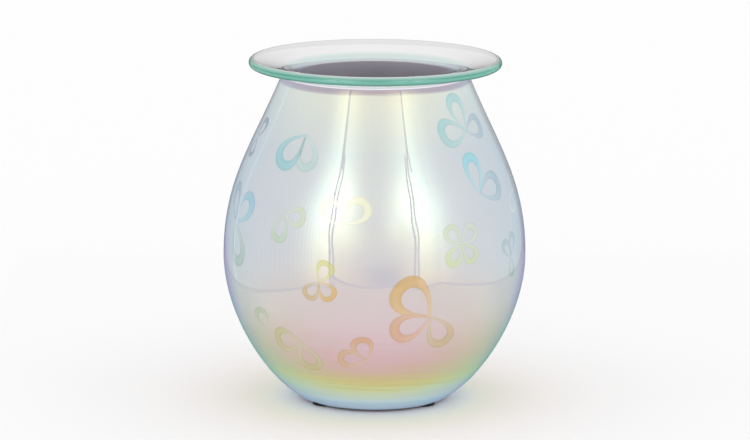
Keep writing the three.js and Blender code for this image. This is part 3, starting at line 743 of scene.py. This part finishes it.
# The print is strongest at a loop's far end and along its outlines
bandShade = 1 - petal["outline"] * np.linspace(-1, 1, petal["bands"]) ** 2
bandShade = np.append(bandShade, bandShade[[-1, 0]])[:, None, None]
pale = petal["fade"] * (1 - reach)[None, :, None]
loops = []
for turn in petal["turns"]:
    for bearing, height, drops in blossoms:
        for lean, length, width, tint in drops:
            points = loopPoints(bearing + turn, height, lean, length, width)
            loop = gridObject("petal", points, petalLustre, wrapRows=True, wrapColumns=True)
            tints = (pale + (1 - pale) * colour(tint)) * bandShade
            tints[..., 3] = 1
            loop.data.color_attributes.new("petalTint", "FLOAT_COLOR", "POINT")
            loop.data.color_attributes["petalTint"].data.foreach_set("color", tints.ravel())
            loops.append(loop)
with bpy.context.temp_override(
    active_object=loops[0], selected_editable_objects=loops, selected_objects=loops
):
    bpy.ops.object.join()
petals = loops[0]
petals.name = "petals"
petals.data.set_sharp_from_angle(angle=glassCrease)
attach(petals, "stand")
print("ornament made")

# Stage: a white table under an even white sky. A small light tent stands round the part and shows only
# in mirrors: four cloth walls, a roof and a ground sheet, with two lamps behind the front corners and a
# curtain over the opening for the lens. Bearings and rises are seen from the middle of the part.
tent = {
    "left": -172.0,
    "right": 220.0,
    "front": -210.0,
    "back": 300.0,
    "top": 420.0,
    "middle": 70.0,
    "sideGlows": (0.4, 0.55),
    "frontGlow": 0.2,
    "backGlow": 0.06,
    "roofGlow": 0.8,
    "groundGlow": 0.6,
    "shadow": (-30.0, 25.0),  # where the ground sheet darkens, from front to back
    "shadowGlow": 0.2,
    "lamps": [(-31.0, 15.5, 5.0), (33.0, 17.5, 4.4)],  # bearing, width, glow
    "lampRise": 21.0,
    "lampHeight": 24.0,
    "lampTaper": 0.0045,
    "footShare": 0.1,
    "footRise": -8.0,
    "footHeight": 5.0,
    "opening": (-131.0, 119.0),
    "curtain": 0.45,  # share of the lamps' light that it lets through
    "curtainGlow": 0.6,
    "curtainThin": 0.85,  # what a level band of it lets through besides
    "curtainRise": 25.0,
    "curtainHeight": 11.0,
    "spots": [  # bearing and its width, rise and its width, glow
        (-17, 10, 10, 8, 0.8),
        (13, 6, 14, 7, 0.6),
        (7, 13, -9, 7, -0.8),
    ],
    "hem": 16.0,
    "hemRise": 15.0,
    "porch": 250.0,
    "seam": 6.0,
    "seamGlow": 0.0,
    "seamLift": 1.0,
    "seams": [  # place across the front, lowest and highest
        (-131.0, 0, 420),
        (119.0, 0, 420),
        (-118.0, 0, 260),
        (107.0, 0, 260),
        (-122.0, 240, 420),
        (127.0, 240, 420),
    ],
    "sways": [(2.5, 37.0, 1), (2.0, 13.0, 2)],  # size, length and how fast the phase goes across
    "pinch": 0.09,
    "pinchHeight": 150.0,
    "backSeam": 84.0,
    "backSeamGlows": (1.4, 0.2),
    "fold": 13.0,
    "foldDepth": 0.4,
    "foldHeight": 250.0,
    "groundLift": 0.2,
    "step": 3.0,
}
table = {"reach": 3000.0, "points": 9}
tablePaper = newMaterial(
    "white paper", {"Base Color": colour("FEFEFE"), "Roughness": 0.9, "Specular IOR Level": 0.1}
)[0]
tentCloth, clothNodes, clothShader = newMaterial(
    "lit tent cloth",
    {"Base Color": colour("000000"), "Specular IOR Level": 0.0, "Emission Color": colour("FFFFFF")},
)[:3]
clothGlow = addNode(clothNodes, "ShaderNodeAttribute", {"attribute_name": "tentGlow"})
clothNodes.links.new(clothGlow.outputs["Fac"], clothShader.inputs["Emission Strength"])
tentCloth.cycles.emission_sampling = "NONE"


def flatSheet(corner, across, up):
    # Points of a flat sheet from a corner along two edges, about a step apart
    rows, columns = [math.ceil(np.linalg.norm(edge) / tent["step"]) + 1 for edge in (up, across)]
    v = np.linspace(0, 1, rows)[:, None, None]
    u = np.linspace(0, 1, columns)[None, :, None]
    return np.array(corner) + v * np.array(up) + u * np.array(across)


def ribbon(line, across):
    # A strip from a line to the same line moved across
    return np.stack([line, line + np.array(across)])


def bell(angle, middle, width):
    return np.exp(-(((angle - middle) / width) ** 2))


def riseOf(points):
    # Angle above the level of the part's middle, in degrees
    level = points[..., 2] - tent["middle"]
    return np.degrees(np.arctan2(level, np.hypot(points[..., 0], points[..., 1])))


def bearingOf(points):
    # Angle from the front, to the right, in degrees
    return np.degrees(np.arctan2(points[..., 0], -points[..., 1]))


def lampGlow(points):
    # Each lamp is a bell curve in bearing and in rise, narrower towards the roof, and some of its light
    # comes back from the table
    rise = riseOf(points)
    bearing = bearingOf(points) * (1 + tent["lampTaper"] * np.maximum(rise - tent["lampRise"], 0))
    glows = [glow * bell(bearing, turn, width) for turn, width, glow in tent["lamps"]]
    direct = bell(rise, tent["lampRise"], tent["lampHeight"])
    return sum(glows) * (direct + tent["footShare"] * bell(rise, tent["footRise"], tent["footHeight"]))


def tentSheet(name, points, glow):
    # Cloth that lights mirrors alone, with a glow for each point
    sheet = gridObject(name, points, tentCloth)
    sheet.data.attributes.new("tentGlow", "FLOAT", "POINT")
    levels = np.broadcast_to(glow, points.shape[:2]).astype(np.float32).ravel()
    sheet.data.attributes["tentGlow"].data.foreach_set("value", levels)
    sheet.visible_camera = False
    sheet.visible_diffuse = False
    sheet.visible_transmission = False
    sheet.visible_shadow = False


wide = (tent["right"] - tent["left"], 0, 0)
deep = (0, tent["back"] - tent["front"], 0)
tall = (0, 0, tent["top"])
frontLeft = (tent["left"], tent["front"], 0)
frontRight = (tent["right"], tent["front"], 0)
for name, corner, glow, seamGlow in zip(
    ["left wall", "right wall"], [frontLeft, frontRight], tent["sideGlows"], tent["backSeamGlows"]
):
    points = flatSheet(corner, deep, tall)
    folds = tent["foldDepth"] * np.sin(2 * np.pi * points[..., 1] / tent["fold"])
    folds *= np.exp(-points[..., 2] / tent["foldHeight"])
    tentSheet(name, points, (glow + lampGlow(points)) * (1 + folds))
    inward = -math.copysign(tent["seamLift"], corner[0])
    sill = flatSheet((corner[0] + inward, tent["front"], 0), deep, (0, 0, tent["seam"]))
    tentSheet("sill", sill, tent["seamGlow"])
    backSeam = flatSheet((corner[0] + inward, tent["backSeam"], 0), (0, tent["seam"], 0), tall)
    tentSheet("back seam", backSeam, seamGlow)
frontHeights = np.arange(0, tent["top"] + tent["step"], tent["step"])


def pinched(aside, level):
    # The opening's edges lean in towards the table
    return aside * (1 - tent["pinch"] * np.exp(-level / tent["pinchHeight"]))


def frontSheet(startEdge, endEdge):
    # Points of the front between two edges, each given at every height
    u = np.linspace(0, 1, math.ceil(abs(endEdge[0] - startEdge[0]) / tent["step"]) + 1)
    x = startEdge[:, None] + u * (endEdge - startEdge)[:, None]
    return np.stack(np.broadcast_arrays(x, tent["front"], frontHeights[:, None]), axis=-1)


openLeft, openRight = [pinched(side, frontHeights) for side in tent["opening"]]
for name, outside, inside in [("left flap", "left", openLeft), ("right flap", "right", openRight)]:
    points = frontSheet(tent[outside] + 0 * inside, inside)
    tentSheet(name, points, tent["frontGlow"] + lampGlow(points))
    sill = ribbon(points[0] + [0, tent["seamLift"], 0], (0, 0, tent["seam"]))
    tentSheet("sill", sill, tent["seamGlow"])
points = frontSheet(openLeft, openRight)
hem = tent["hem"] + tent["hemRise"] * (points[0, :, 0] / openRight[0]) ** 2
points[..., 2] = hem + points[..., 2] * (1 - hem / tent["top"])
thin = tent["curtainThin"] * bell(riseOf(points), tent["curtainRise"], tent["curtainHeight"])
curtainGlow = tent["curtainGlow"] + (tent["curtain"] + thin) * lampGlow(points)
for turn, turnWidth, rise, riseWidth, glow in tent["spots"]:
    curtainGlow += glow * bell(bearingOf(points), turn, turnWidth) * bell(riseOf(points), rise, riseWidth)
tentSheet("curtain", points, curtainGlow)
hemStrip = ribbon(points[0] + [0, tent["seamLift"], 0], (0, 0, tent["seam"]))
tentSheet("hem", hemStrip, tent["seamGlow"])
for aside, low, high in tent["seams"]:
    level = np.arange(low, high, tent["step"])
    sway = sum(size * np.sin(level / length + phase * aside) for size, length, phase in tent["sways"])
    x = pinched(aside, level) + sway
    line = np.stack(np.broadcast_arrays(x, tent["front"] + tent["seamLift"], level), axis=-1)
    tentSheet("seam", ribbon(line, (tent["seam"], 0, 0)), tent["seamGlow"])
tentSheet("back wall", flatSheet((tent["left"], tent["back"], 0), wide, tall), tent["backGlow"])
tentSheet("roof", flatSheet((tent["left"], tent["front"], tent["top"]), wide, deep), tent["roofGlow"])
groundDeep = (0, deep[1] + tent["porch"], 0)
ground = flatSheet((tent["left"], tent["front"] - tent["porch"], tent["groundLift"]), wide, groundDeep)
lit = np.interp(ground[..., 1], tent["shadow"], (1, 0))
tentSheet("ground sheet", ground, tent["shadowGlow"] + (tent["groundGlow"] - tent["shadowGlow"]) * lit)
tableSide = np.linspace(-table["reach"], table["reach"], table["points"])
tablePoints = np.stack(np.broadcast_arrays(tableSide[None, :], tableSide[:, None], 0.0), axis=-1)
tableTop = gridObject("table", tablePoints, tablePaper)

world = bpy.data.worlds.new("white surround")
bpy.context.scene.world = world
world.use_nodes = True
world.node_tree.nodes.clear()
sky = addNode(world.node_tree, "ShaderNodeBackground", {"Color": colour("FFFFFF"), "Strength": 1.0})
addNode(world.node_tree, "ShaderNodeOutputWorld", {}, {"Surface": sky.outputs[0]})

# Camera: a long lens a little above the part, turned very slightly about its own axis.
view = {
    "far": 1737.75,
    "height": 74.37,
    "rise": math.radians(11.2),
    "roll": math.radians(0.287),
    "aside": 0.145,
    "lens": 201.6,
    "sensor": 36.0,
    "clip": 20000.0,
}
lens = bpy.data.cameras.new("camera")
lens.lens = view["lens"]
lens.sensor_width = view["sensor"]
lens.clip_end = view["clip"] * mm
camera = bpy.data.objects.new("camera", lens)
bpy.context.collection.objects.link(camera)
back = view["far"] * math.cos(view["rise"])
above = view["height"] + view["far"] * math.sin(view["rise"])
camera.matrix_world = (
    Matrix.Translation(Vector((view["aside"], -back, above)) * mm)
    @ Matrix.Rotation(math.pi / 2 - view["rise"], 4, "X")
    @ Matrix.Rotation(view["roll"], 4, "Z")
)
scene = bpy.context.scene
scene.camera = camera
scene.view_settings.view_transform = "Standard"
print("stage made")
